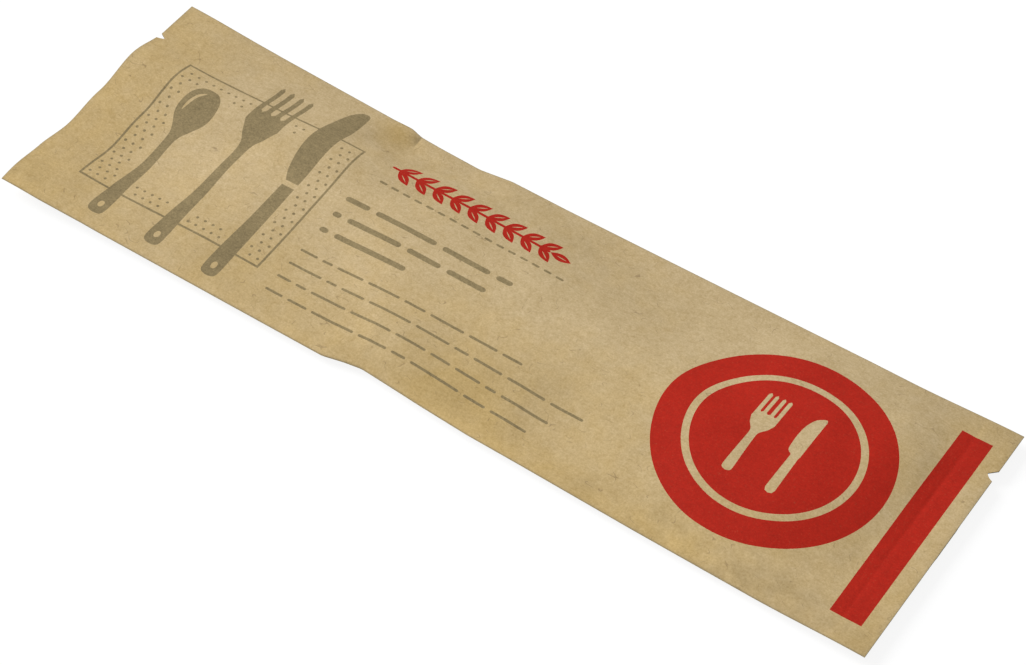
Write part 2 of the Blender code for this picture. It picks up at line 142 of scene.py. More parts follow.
# The pressed lines of each seal: (place past its crease, half-width, rise), and how strong they are in the
# left one. The sheet is laid out along SEAL_LINES, and it has a hollow before the right seal.
SEAL_GROOVES = ((-0.35, 0.50, -0.045), (2.3, 0.30, -0.018))
LEFT_SEAL_SHARE = 0.4
SEAL_LINES = (-1.05, -0.7, -0.35, 0.0, 0.35, 1.9, 2.3, 2.7)
HOLLOW = 0.10
HOLLOW_RUN = 4.0
HOLLOW_FADE = 16.0

# The slow cockle of the paper: (size, rise)
COCKLES = ((17.0, 0.10), (6.0, 0.03))
COCKLE_SEED = 3.0

# How far inside the rim the relief of each kind has its whole height
COCKLE_FADE = 5.0
CREASE_FADE = 1.5
SEAL_FADE = 3.0

# How finely the sheets are laid out: their triangles, the rounds of the print and all lines, how near to a
# line a point may lie, and how far inside the rim its own line runs
FACE_SPACING = 1.1
BACK_SPACING = 1.8
PRINT_STEP = 0.5
EDGE_STEP = 0.8
CLEAR_SHARE = 0.55
MERGE_DISTANCE = 1e-5
RIM_INSET = 0.3


def clamp(value):
    return np.clip(value, 0.0, 1.0)


def ease(value):
    """0 to 1 with a level start and end."""
    t = clamp(value)
    return t * t * (3.0 - 2.0 * t)


def past(value, start, run):
    """0 up to the start, and 1 from one run further on."""
    return ease((value - start) / run)


def spot(x, y, place_x, place_y, reach_x, reach_y):
    """1 at a place, and 0 from its reach on."""
    return 1.0 - ease(np.hypot((x - place_x) / reach_x, (y - place_y) / reach_y))


# Form of the packet, with the values of its solid


def drawn_in(fold, x):
    """How far a long fold is drawn in at x, with its turns a little rounded."""
    places, inward = zip(*fold)
    shifts = (-FOLD_SOFTNESS, 0.0, FOLD_SOFTNESS)
    return sum(np.interp(x + shift, places, inward) for shift in shifts) / len(shifts)


def far_edge(x):
    return HALF_WIDTH - drawn_in(FAR_FOLD, x)


def near_edge(x):
    return -HALF_WIDTH + drawn_in(NEAR_FOLD, x)


def end_wave(x, y):
    """The rise and fall of the left end, which dies out along the packet."""
    fade = 1.0 - ease((x + HALF_LENGTH - SEAL) / END_WAVE_REACH)
    return fade * sum(rise * (1.0 - ease(np.abs(y - place) / reach)) for place, reach, rise in END_WAVES)


def fold_height(x, y):
    """The height of the folds and of the seals, which rise a little towards both ends."""
    rise = np.where(x < 0.0, LEFT_END_RISE, RIGHT_END_RISE)
    return FOLD_HEIGHT + rise * (1.0 - ease((HALF_LENGTH - np.abs(x)) / END_RISE_RUN)) + end_wave(x, y)


def swell(x, y):
    """0 at the folds and seals, 1 where the contents hold the sheets furthest apart."""
    from_seal = HALF_LENGTH - SEAL - np.abs(x)
    left, right = ease(from_seal / LEFT_RAMP), np.sin(0.5 * math.pi * clamp(from_seal / RIGHT_RAMP))
    along = np.where(x < 0.0, left, right)
    across = y / np.where(y > 0.0, far_edge(x), near_edge(x))
    return along * (1.0 - clamp(across) ** SWELL_SHOULDER)


def dents(x, y):
    """The soft dents and rises of the face."""
    total = np.zeros_like(x)
    for place_x, place_y, reach_x, reach_y, turn, rise in FACE_DENTS:
        cos, sin = math.cos(math.radians(turn)), math.sin(math.radians(turn))
        along = (x - place_x) * cos + (y - place_y) * sin
        across = (y - place_y) * cos - (x - place_x) * sin
        total += rise * spot(along, across, 0.0, 0.0, reach_x, reach_y)
    return total


def crease_relief(x, y):
    """The fine creases, each fading out at its ends."""
    total = np.zeros_like(x)
    for ax, ay, bx, by, half, rise in CREASES:
        long = math.hypot(bx - ax, by - ay)
        along = ((x - ax) * (bx - ax) + (y - ay) * (by - ay)) / long
        across = ((y - ay) * (bx - ax) - (x - ax) * (by - ay)) / long
        ends = ease(along / (CREASE_SETS_IN * long) + 0.5) * ease((long - along) / (CREASE_FADES * long))
        total += rise * ends * np.exp(-np.abs(across) / half)
    return total


def seal_relief(x, y):
    """The pressed lines of each seal, and the hollow where the face eases into the right one."""
    beyond = np.abs(x) - HALF_LENGTH + SEAL
    middle = clamp(1.0 - (y / HALF_WIDTH) ** 2) * (x > 0.0)
    total = -HOLLOW * middle * ease(-beyond / HOLLOW_RUN) * (1.0 - ease(-beyond / HOLLOW_FADE))
    share = np.where(x > 0.0, 1.0, LEFT_SEAL_SHARE)
    for place, half, rise in SEAL_GROOVES:
        total += share * rise * np.exp(-((beyond - place) / half) ** 2)
    return total


def uneven(x, y, size, seed):
    """Smooth noise from -1 to 1 whose blotches are about the size given."""
    return np.array([noise.noise(Vector((px / size, py / size, seed))) for px, py in zip(x, y)])


def cockle(x, y):
    """A slow, shallow unevenness of the paper."""
    return sum(rise * uneven(x, y, size, COCKLE_SEED) for size, rise in COCKLES)


# Looks of the face from place to place, with painted light and shade among them

# Warmer spots, for yellowing and as the tint of painted shade such as in the tuck: (x, y, half-length,
# half-width, how much)
WARM_SPOTS = (
    (8.0, -29.0, 24.0, 17.0, 0.65), (118.0, -10.0, 16.0, 60.0, 0.30), (116.0, 31.0, 20.0, 20.0, 0.62),
    (99.0, 9.0, 14.0, 16.0, 0.50), (-51.5, 32.5, 10.0, 8.0, 0.90), (-48.0, -22.0, 16.0, 16.0, 0.20),
    (0.0, -8.0, 85.0, 16.0, 0.20), (-15.0, 30.0, 80.0, 14.0, 0.14), (20.0, -37.0, 75.0, 10.0, 0.35),
    (66.0, -35.0, 15.0, 8.0, 0.40), (-86.0, 34.0, 16.0, 8.0, 0.30),
)

# The same from the left end and from the near fold: how much and how far, and the share of the weaker one
# that counts where both meet
WARM_LEFT = 0.66
WARM_LEFT_RUN = 34.0
WARM_NEAR = 0.50
WARM_NEAR_RUN = 44.0
WARM_BOTH = 0.3

# Painted light and shade on the paper: how much, and where that starts and over what run it grows or fades
LEFT_TONE = 0.045
LEFT_TONE_AT = (-HALF_LENGTH, 34.0)
RIGHT_TONE = -0.038
RIGHT_TONE_AT = (HALF_LENGTH - SEAL - 1.0, 3.0)
MIDDLE_TONE = 0.038
MIDDLE_LINE = 1.0
MIDDLE_REACH = 20.0
FAR_TONE = -0.034
FAR_TONE_AT = (8.0, 18.0)
NEAR_TONE = 0.070
NEAR_TONE_AT = (-HALF_WIDTH + 1.5, 3.5)
NEAR_TONE_END = (10.0, 40.0)
CORNER_TONE = -0.080
CORNER_TONE_AT = (72.0, 24.0)
CORNER_SIDES = (23.0, 12.0)

# Spots of painted shade and painted light, darker and lighter: (x, y, half-length, half-width, how much)
TONE_SPOTS = (
    (-53.0, 32.0, 10.0, 6.0, -0.04), (-17.0, -34.5, 13.0, 4.5, 0.07), (52.0, -32.5, 28.0, 8.0, -0.05),
    (-31.0, 27.0, 17.0, 8.0, -0.06), (103.0, 36.0, 11.0, 7.0, -0.06), (96.0, 17.0, 13.0, 8.0, 0.05),
    (93.0, -32.0, 26.0, 6.0, -0.05), (-117.0, -33.0, 10.0, 10.0, -0.06), (-26.0, -15.0, 18.0, 10.0, 0.04),
    (-15.0, 33.5, 12.0, 7.0, -0.06),
)

# Blotches of mottling and of painted light and shade by the near fold: (x, y, half-length, half-width), the
# size of its blotches, and how much
MOTTLE = (80.0, -35.0, 55.0, 14.0)
MOTTLE_SIZE = 3.6
MOTTLE_TONE = 0.15
MOTTLE_SEED = 9.0

# The tuck at the far fold and its painted shade: its place, how far that shade runs back from its lip, its
# half-width, how dark it is, and lines of the layout
TUCK = (-46.8, 34.4)
TUCK_LIP = 0.1
TUCK_RUN = 2.4
TUCK_HALF = 4.2
TUCK_TONE = 0.36
TUCK_LINES = (-1.2, -0.5, 0.0, 0.3, 0.9)

# How far in from the folds and the cut ends their darkening, for wear and as painted shade, fades
WEAR_AND_SHADE_RUN = 0.13


def warmth(x, y):
    """How warm the paper is made, from 0 to 1, for yellowing and as the tint of painted shade: most along the
    near fold and at the left end.
    """
    left = WARM_LEFT * (1.0 - past(x, -HALF_LENGTH, WARM_LEFT_RUN))
    near = WARM_NEAR * (1.0 - past(y, -HALF_WIDTH, WARM_NEAR_RUN))
    total = np.maximum(left, near) + WARM_BOTH * np.minimum(left, near)
    for *place, much in WARM_SPOTS:
        total += much * spot(x, y, *place)
    return clamp(total)


def painted_light_and_shade(x, y):
    """Painted light and shade: how much lighter or darker the paper is made, around 1."""
    total = 1.0 + LEFT_TONE * (1.0 - past(x, *LEFT_TONE_AT)) + RIGHT_TONE * past(x, *RIGHT_TONE_AT)
    total += MIDDLE_TONE * (1.0 - ease(np.abs(y - MIDDLE_LINE) / MIDDLE_REACH))
    total += FAR_TONE * past(y, *FAR_TONE_AT)
    total += NEAR_TONE * (1.0 - past(y, *NEAR_TONE_AT)) * (1.0 - past(x, *NEAR_TONE_END))
    total += CORNER_TONE * past(np.abs(y), *CORNER_SIDES) * past(x, *CORNER_TONE_AT)
    for *place, much in TONE_SPOTS:
        total += much * spot(x, y, *place)
    return total + mottle(x, y) - tuck_shade(x, y)


def mottle(x, y):
    """The blotches by the near fold, darker and lighter by turns: mottling with painted light and shade."""
    return MOTTLE_TONE * spot(x, y, *MOTTLE) * uneven(x, y, MOTTLE_SIZE, MOTTLE_SEED)


def tuck_shade(x, y):
    """The painted shade in the tuck, darkest at its lip and gone past it."""
    back = TUCK[0] - x
    fade = np.exp(-np.maximum(back, 0.0) / TUCK_RUN) * (1.0 - ease(np.abs(y - TUCK[1]) / TUCK_HALF))
    return TUCK_TONE * (back > -TUCK_LIP) * fade


def from_rim(x, y):
    """The distance to the nearest fold or end."""
    return np.minimum(np.minimum(far_edge(x) - y, y - near_edge(x)), HALF_LENGTH - np.abs(x))


def wear_and_painted_shade(x, y):
    """Darkening for wear and as painted shade, from 0 to 1: only within a hair of the folds and the cut ends.
    """
    return np.exp(-np.maximum(from_rim(x, y) - FOLD_RADIUS, 0.0) / WEAR_AND_SHADE_RUN)


# Heights of both sheets


def face_height(x, y):
    """The face: the swell of the contents with its dents, and the fine relief of the paper."""
    share = swell(x, y)
    lift = TOP_SWELL * share + dents(x, y) * clamp(DENT_GAIN * share)
    rim = from_rim(x, y)
    fine = crease_relief(x, y) * ease(rim / CREASE_FADE) + cockle(x, y) * ease(rim / COCKLE_FADE)
    return fold_height(x, y) + 0.5 * PLIES + lift + fine + seal_relief(x, y) * ease(rim / SEAL_FADE)


def back_height(x, y):
    """The back, pressed flat where it lies on the floor, with its seam folded to one side."""
    sheet = fold_height(x, y) - 0.5 * PLIES - BACK_SWELL * swell(x, y)
    from_seam = np.maximum(0.0, np.abs(y) - 0.5 * SEAM_WIDTH)
    seam = SEAM_THICKNESS * (1.0 - clamp(from_seam / np.where(y > 0.0, SEAM_EDGE_RUN, SEAM_ROOT_RUN)))
    relief = SEAM_THICKNESS * (1.0 - ease(from_seam / SEAM_RELIEF_RUN))
    return np.maximum(relief, sheet) - seam


# Outline


def steps_between(start, end, spacing):
    """Even places from the start up to the end, without the end."""
    count = max(1, round(abs(end - start) / spacing))
    return [start + (end - start) * step / count for step in range(count)]


def notch(width, end):
    """One tear notch, from its near lip to its far lip: a rounded lip, the tip and a straight cut."""
    far_lip = HALF_WIDTH - NOTCH_FROM_FOLD
    return [(end * (HALF_LENGTH - NOTCH_DEPTH * deep), far_lip - width * down) for deep, down in NOTCH_SHAPE]


def cut_end(width, end):
    """One end from the near fold to the far fold."""
    cut = notch(width, end)
    below = steps_between(-HALF_WIDTH + FOLD_RADIUS, cut[0][1], EDGE_STEP)
    above = steps_between(HALF_WIDTH - FOLD_RADIUS, cut[-1][1], EDGE_STEP)[::-1]
    return [(end * HALF_LENGTH, y) for y in below] + cut + [(end * HALF_LENGTH, y) for y in above]


def sheet_outline():
    """The edge of both sheets from above, anticlockwise, and how far the rim bulges out at each point."""
    places = steps_between(-HALF_LENGTH, HALF_LENGTH, EDGE_STEP)[1:]
    near = [(x, float(near_edge(x)) + FOLD_RADIUS) for x in places]
    far = [(x, float(far_edge(x)) - FOLD_RADIUS) for x in reversed(places)]
    right = cut_end(RIGHT_NOTCH_WIDTH, 1.0)
    left = cut_end(LEFT_NOTCH_WIDTH, -1.0)[::-1]
    points = near + right + far + left
    bulge = [-1.0] * len(near) + [0.0] * len(right) + [1.0] * len(far) + [0.0] * len(left)
    # The first and the last point of a cut end are also the end of a fold
    for corner in (len(near), len(points) - 1):
        bulge[corner] = -1.0
    for corner in (len(near) + len(right) - 1, len(near) + len(right) + len(far)):
        bulge[corner] = 1.0
    return points, np.array(bulge)


def rim_lines():
    """Lines just inside the folds and the cut ends, which keep their wear and painted shade narrow."""
    clear = 2.0 * RIM_INSET
    places = steps_between(-HALF_LENGTH + clear, HALF_LENGTH - clear, EDGE_STEP)
    sides = ((near_edge, FOLD_RADIUS + RIM_INSET), (far_edge, -FOLD_RADIUS - RIM_INSET))
    lines = [[(x, float(edge(x)) + inward) for x in places] for edge, inward in sides]
    far_lip = HALF_WIDTH - NOTCH_FROM_FOLD
    for end, width in ((-1.0, LEFT_NOTCH_WIDTH), (1.0, RIGHT_NOTCH_WIDTH)):
        x = end * (HALF_LENGTH - RIM_INSET)
        lines.append([(x, -HALF_WIDTH + clear), (x, far_lip - width - RIM_INSET)])
        lines.append([(x, far_lip + RIM_INSET), (x, HALF_WIDTH - clear)])
    return lines


# Print shapes: each is a list of its outline and its holes


def arc(x, y, reach_x, reach_y, start, end, step=PRINT_STEP):
    """Points along part of an ellipse, from one angle to another in degrees."""
    long = math.radians(abs(end - start)) * max(reach_x, reach_y)
    count = max(4, math.ceil(long / step))
    angles = [math.radians(start + (end - start) * part / count) for part in range(count + 1)]
    return [(x + reach_x * math.cos(angle), y + reach_y * math.sin(angle)) for angle in angles]


def oval(x, y, reach_x, reach_y, step=PRINT_STEP):
    return arc(x, y, reach_x, reach_y, 0.0, 360.0, step)[:-1]


def disc(x, y, radius, step=PRINT_STEP):
    return oval(x, y, radius, radius, step)


def level_bar(left, y, length, width):
    """A bar along the packet with round ends."""
    half = 0.5 * width
    return (arc(left + length - half, y, half, half, -90.0, 90.0)
            + arc(left + half, y, half, half, 90.0, 270.0))


def box(left, right, low, high):
    return [(left, low), (right, low), (right, high), (left, high)]


def smooth_outline(points, closed=False, parts=6):
    """A smooth line through points (Catmull-Rom)."""
    pts = [Vector(p) for p in points]
    count = len(pts)
    made = []
    last = count if closed else count - 1
    for i in range(last):
        p0 = pts[(i - 1) % count] if closed or i > 0 else pts[0]
        p1, p2 = pts[i], pts[(i + 1) % count]
        p3 = pts[(i + 2) % count] if closed or i + 2 < count else pts[-1]
        for part in range(parts):
            t = part / parts
            made.append(tuple(0.5 * (2.0 * p1 + (p2 - p0) * t + (2.0 * p0 - 5.0 * p1 + 4.0 * p2 - p3) * t * t
                                     + (3.0 * p1 - p0 - 3.0 * p2 + p3) * t * t * t)))
    return made if closed else made + [tuple(pts[-1])]


def mirrored(side):
    """A closed outline from its right half, which runs from the foot up: (half-width, height)."""
    return side + [(-x, y) for x, y in reversed(side)]


def placed(outline, x, y):
    return [(x + px, y + py) for px, py in outline]


# The plate: its place, radius and bare ring, and how far its fork and knife are from its middle. Then the
# band: its left, right, near and far side.
PLATE_X = HALF_LENGTH - 45.0
PLATE_RADIUS = 28.5
PLATE_RING = (21.5, 19.7)
PLATE_ASIDE = 5.6
PLATE_FOOT = -13.0
BAND = (HALF_LENGTH - 12.6, HALF_LENGTH - 4.6, -31.0, 31.0)


def plate():
    """A disc with a bare ring and a bare fork and knife, and beside it a band."""
    rim = [disc(PLATE_X, 0.0, PLATE_RADIUS), disc(PLATE_X, 0.0, PLATE_RING[0])]
    middle = [disc(PLATE_X, 0.0, PLATE_RING[1]), placed(small_fork(), PLATE_X - PLATE_ASIDE, PLATE_FOOT),
              placed(small_knife(), PLATE_X + PLATE_ASIDE, PLATE_FOOT)]
    return [rim, middle, [box(*BAND)]]


def small_fork():
    """The fork on the plate, 26 mm long, with four tines."""
    side = [(0.0, 0.0), (0.9, 0.3), (1.25, 1.2), (1.15, 5.0), (0.95, 11.0), (1.1, 13.2), (2.3, 15.0),
            (3.1, 17.0)]
    tines = [(3.1, 25.4), (2.6, 26.0), (2.1, 25.4), (2.1, 19.6), (1.75, 19.2), (1.4, 19.6), (1.4, 25.4),
             (0.95, 26.0), (0.5, 25.4), (0.5, 19.6), (0.0, 19.2)]
    return mirrored(smooth_outline(side, parts=4) + tines)[:-1]


def small_knife():
    """The knife on the plate, 26 mm long."""
    right = [(0.0, 0.0), (0.9, 0.3), (1.25, 1.2), (1.15, 6.0), (1.05, 12.0)]
    left = [(-1.05, 12.0), (-1.15, 6.0), (-1.25, 1.2), (-0.9, 0.3)]
    blade = [(1.2, 12.6), (1.2, 25.4), (0.9, 26.0)]
    edge = [(0.3, 25.9), (-1.3, 24.4), (-2.3, 21.6), (-2.6, 18.4), (-2.5, 15.2), (-2.2, 13.2), (-1.2, 12.4)]
    return right + blade + smooth_outline(edge, parts=4) + left


# The sprig: its stem's left end, height, length and width, its leaves and where the first pair is, and the
# start, end and width of a leaf's bare vein
STEM = (-HALF_LENGTH + 75.0, 20.0, 46.0, 0.8)
LEAF_LENGTH = 5.8
LEAF_WIDTH = 2.6
LEAF_TURN = 38.0
LEAF_PAIRS = 9
FIRST_LEAF = 0.4
VEIN = (1.7, 4.6, 0.26)

# The dashes below it: their count, left end, pitch, height, length and width
DASHES = (16, -HALF_LENGTH + 75.6, 3.4, 13.6, 2.2, 0.7)


def lens(start, end, width):
    """A long shape with two pointed ends on the level line through 0."""
    count = max(6, math.ceil((end - start) / PRINT_STEP))
    shares = [step / count for step in range(count + 1)]
    upper = [(start + (end - start) * share, 0.5 * width * math.sin(math.pi * share)) for share in shares]
    return upper + [(along, -across) for along, across in upper[-2:0:-1]]


def leaf(x, y, turn):
    """A leaf with a bare vein. Its foot is at the place, and it points at the turn in degrees."""
    turned = Matrix.Rotation(math.radians(turn), 2)
    shapes = [lens(0.0, LEAF_LENGTH, LEAF_WIDTH), lens(*VEIN)]
    return [[tuple(Vector((x, y)) + turned @ Vector(point)) for point in shape] for shape in shapes]


def sprig():
    """A stem along the packet with pairs of leaves and one leaf at its tip."""
    left, y, long, wide = STEM
    shapes = [[level_bar(left, y, long, wide)], leaf(left + long, y, 0.0)]
    for pair in range(LEAF_PAIRS):
        x = left + (pair + FIRST_LEAF) * long / LEAF_PAIRS
        shapes += [leaf(x, y, turn) for turn in (LEAF_TURN, -LEAF_TURN)]
    return shapes


def dash_row():
    count, left, pitch, y, length, width = DASHES
    return [[level_bar(left + step * pitch, y, length, width)] for step in range(count)]


# Rows of bars: (height, bar width, gap, lengths of the bars)
BARS_LEFT = -HALF_LENGTH + 72.0
BAR_ROWS = (
    (4.6, 1.5, 1.9, (7.0, 17.5, 13.5, 4.5)),
    (-0.8, 1.5, 1.9, (2.4, 15.5, 9.5, 11.0)),
    (-6.2, 1.5, 1.9, (2.4, 20.5)),
    (-14.0, 0.7, 1.4, (5.0, 3.0, 7.5, 9.0, 6.0, 9.5, 8.0, 5.5)),
    (-18.7, 0.7, 1.4, (9.5, 3.0, 6.5, 12.0, 9.5, 4.0, 8.0, 10.5, 9.0)),
    (-23.4, 0.7, 1.4, (4.0, 3.0, 10.0, 11.5, 8.5, 5.5, 7.0, 3.0, 13.0)),
    (-28.1, 0.7, 1.4, (5.0, 5.5, 12.0, 8.0, 4.0, 13.5, 6.0, 10.0)),
)


def bar_rows():
    shapes = []
    for y, width, gap, lengths in BAR_ROWS:
        left = BARS_LEFT
        for length in lengths:
            shapes.append([level_bar(left, y, length, width)])
            left += length + gap
    return shapes


# The three figures: the place of the first, how far apart they are, where their feet are, and the height and
# the reach of their hanging holes
FIGURE_X = -HALF_LENGTH + 24.0
FIGURE_PITCH = 17.0
FIGURE_FOOT = -33.0
HOLE_HEIGHT = 3.4
HOLE_REACH = (0.75, 1.1)


def hanging_hole(x):
    return oval(x, FIGURE_FOOT + HOLE_HEIGHT, *HOLE_REACH)


def spoon(x):
    """A coffee spoon, 48 mm long, with a hanging hole and a bare crescent in its bowl."""
    side = [(0.0, 0.0), (1.7, 0.5), (2.3, 2.2), (2.2, 6.0), (1.7, 14.0), (1.3, 24.0), (1.35, 31.0),
            (2.6, 34.6), (4.5, 38.0), (5.0, 41.2), (4.3, 45.0), (2.4, 47.4), (0.0, 48.0)]
    crescent = [(-3.3, 39.4), (-3.4, 42.0), (-2.2, 45.0), (-0.4, 46.2), (-1.8, 44.2), (-2.6, 41.8)]
    whole = placed(mirrored(smooth_outline(side, parts=5)[1:-1]), x, FIGURE_FOOT)
    glint = placed(smooth_outline(crescent, closed=True, parts=4), x, FIGURE_FOOT)
    return [[whole, hanging_hole(x), glint]]


def fork(x):
    """A table fork, 61 mm long, with a hanging hole and four tines."""
    side = [(0.0, 0.0), (1.7, 0.5), (2.3, 2.2), (2.2, 7.0), (1.7, 18.0), (1.3, 30.0), (1.5, 38.0),
            (3.2, 41.6), (4.9, 45.2)]
    tines = [(4.95, 60.0), (4.3, 61.0), (3.65, 60.0), (3.55, 50.0), (2.85, 49.2), (2.15, 50.0), (2.1, 60.0),
             (1.45, 61.0), (0.8, 60.0), (0.7, 50.0), (0.0, 49.2)]
    whole = placed(mirrored(smooth_outline(side, parts=5)[1:] + tines)[:-1], x, FIGURE_FOOT)
    return [[whole, hanging_hole(x)]]


def knife(x):
    """A table knife, 66 mm long, with a hanging hole and a bare line between its handle and its blade."""
    side = [(0.0, 0.0), (1.7, 0.5), (2.3, 2.2), (2.3, 8.0), (2.0, 20.0), (1.8, 33.0)]
    edge = [(-1.8, 34.6), (-3.3, 37.5), (-4.5, 42.5), (-5.0, 49.0), (-4.7, 56.0), (-3.4, 61.8), (-1.2, 65.4),
            (0.8, 66.0)]
    back = [(1.8, 34.6), (1.8, 64.6), (1.5, 65.6)]
    handle = placed(mirrored(smooth_outline(side, parts=5)[1:]), x, FIGURE_FOOT)
    blade = placed(back + smooth_outline(edge, parts=5)[::-1], x, FIGURE_FOOT)
    return [[handle, hanging_hole(x)], [blade]]


# The napkin behind them: its left, right, near and far side, and the width of its line
NAPKIN = (-107.0, -53.0, -24.5, 20.0)
NAPKIN_LINE = 0.6


def napkin_lines():
    """The outline of a folded napkin behind the three figures."""
    left, right, low, high = NAPKIN
    line = NAPKIN_LINE
    return [[box(left, right, low, high), box(left + line, right - line, low + line, high - line)]]


# The dots inside it: their radius, the step along their rounds, how far apart they are, where the first one
# is, how wide their border is, and how far they stay from the far and right side and from the figures
DOT_RADIUS = 0.42
DOT_ROUND = 0.45
DOT_STEP = 2.3
DOT_START = 0.75
DOT_BORDER = 6.8
DOT_INSET = 1.2
DOT_CLEAR = 1.6


def near_figure(x, y, outlines):
    """Whether a place is on or close to one of the figures."""
    return any(inside(np.array([[x, y]]), loop)[0]
               or np.hypot(loop[:, 0] - x, loop[:, 1] - y).min() < DOT_CLEAR for loop in outlines)


def napkin_dots(figures):
    """Staggered rows of small dots as a border inside the napkin."""
    left, right, low, high = NAPKIN
    shapes = []
    outlines = [np.array(stepped(outer + outer[:1], EDGE_STEP)) for outer, *_ in figures]
    for row in range(int((high - low) / DOT_STEP)):
        y = low + (row + 1.0) * DOT_STEP
        for column in range(int((right - left) / DOT_STEP)):
            x = left + (column + DOT_START + 0.5 * (row % 2)) * DOT_STEP
            if x > right - DOT_INSET or y > high - DOT_INSET:
                continue
            in_border = min(x - left, right - x, y - low, high - y) < DOT_BORDER
            if in_border and not near_figure(x, y, outlines):
                shapes.append([disc(x, y, DOT_RADIUS, DOT_ROUND)])
    return shapes


# Flat layout of the sheets


def stepped(line, spacing):
    """A line of points with even steps no longer than the spacing between each two."""
    points = []
    for (ax, ay), (bx, by) in zip(line, line[1:]):
        count = max(1, math.ceil(math.hypot(bx - ax, by - ay) / spacing))
        points += [(ax + (bx - ax) * step / count, ay + (by - ay) * step / count) for step in range(count)]
    return points + [line[-1]]


def inside(points, loop):
    """Which of the points are inside a closed loop."""
    low, high = loop.min(axis=0), loop.max(axis=0)
    near = np.flatnonzero(((points >= low) & (points <= high)).all(axis=1))
    x, y = points[near].T
    odd = np.zeros(len(near), bool)
    for (ax, ay), (bx, by) in zip(loop, np.roll(loop, -1, axis=0)):
        if ay != by:
            crosses = (ay > y) != (by > y)
            odd ^= crosses & (x < ax + (y - ay) * (bx - ax) / (by - ay))
    found = np.zeros(len(points), bool)
    found[near[odd]] = True
    return found


def on_print(points, shapes):
    """Which of the points are on any of the shapes and in none of that shape's holes."""
    found = np.zeros(len(points), bool)
    for outer, *holes in shapes:
        on = inside(points, np.array(outer))
        for hole in holes:
            on &= ~inside(points, np.array(hole))
        found |= on
    return found


def filling(outline, drawn, spacing):
    """Staggered points inside the outline and clear of every drawn point."""
    tree = KDTree(len(drawn))
    for index, (x, y) in enumerate(drawn):
        tree.insert((x, y, 0.0), index)
    tree.balance()
    rows = round(WIDTH / (spacing * math.sqrt(0.75)))
    columns = round(LENGTH / spacing)
    grid = []
    for row in range(1, rows):
        y = -HALF_WIDTH + row * WIDTH / rows
        for column in range(columns):
            grid.append((-HALF_LENGTH + (column + 0.25 + 0.5 * (row % 2)) * LENGTH / columns, y))
    grid = np.array(grid)
    kept = grid[inside(grid, np.array(outline))]
    return [(x, y) for x, y in kept.tolist() if tree.find((x, y, 0.0))[2] > CLEAR_SHARE * spacing]


def lay_out(outline, lines, loops, spacing):
    """A flat sheet as points, triangles and the indices of its outline, with edges along every line."""
    drawn = [outline + outline[:1]]
    drawn += [stepped(line, EDGE_STEP) for line in lines]
    drawn += [stepped(loop + loop[:1], EDGE_STEP) for loop in loops]
    points, edges = [], []
    for line in drawn:
        edges += [(len(points) + at, len(points) + at + 1) for at in range(len(line) - 1)]
        points += line
    points += filling(outline, points, spacing)
    places = [Vector(point) for point in points]
    laid, _, faces, origins, _, _ = delaunay_2d_cdt(places, edges, [], 0, MERGE_DISTANCE)
    place_of = {first: index for index, merged in enumerate(origins) for first in merged}
    flat = np.array([tuple(point) for point in laid])
    faces = np.array([tuple(face) for face in faces])
    centres = flat[faces].mean(axis=1)
    faces = faces[inside(centres, np.array(outline))]
    return flat, faces, [place_of[index] for index in range(len(outline))]


# Building the packet

# The materials, by their places in the mesh
PAPER, RED, TAUPE, EDGE = range(4)

# How far the pressed lines of the seals stay clear of the folds, and the lines of the back of the rim
SEAL_LINE_INSET = 2.0
BACK_LINE_INSET = 0.4

# The texture square: its margin, the middles of face and back, the top of the rim, and a band's height
UV_MARGIN = 0.01
UV_FACE = 0.82
UV_BACK = 0.48
UV_RIM = 0.28
UV_BAND = 0.02

SHARP_ANGLE = 40.0

# The rim from the face down to the back: (how far out at a fold, height, depth of the groove at a cut end)
PROFILE = ((0.38, 0.71, 0.0), (0.71, 0.38, 0.02), (1.0, 0.0, 0.09), (0.71, -0.38, 0.02), (0.38, -0.71, 0.0))


def rim_rings(outline, bulge, top, low):
    """The rings of the rim: round at the folds, and with a groove between the plies at the cut ends."""
    flat = np.array(outline)
    before, after = np.roll(flat, 1, axis=0), np.roll(flat, -1, axis=0)
    run = after - before
    out = np.stack([run[:, 1], -run[:, 0]], axis=1) / np.linalg.norm(run, axis=1)[:, None]
    middle, half = 0.5 * (top + low), 0.5 * (top - low)
    folded = bulge != 0.0
    rings = []
    for fold_out, height, groove in PROFILE:
        ring = flat.copy()
        ring[folded, 1] += bulge[folded] * FOLD_RADIUS * fold_out
        ring[~folded] -= groove * out[~folded]
        rings.append(np.column_stack([ring, middle + half * height]))
    return rings


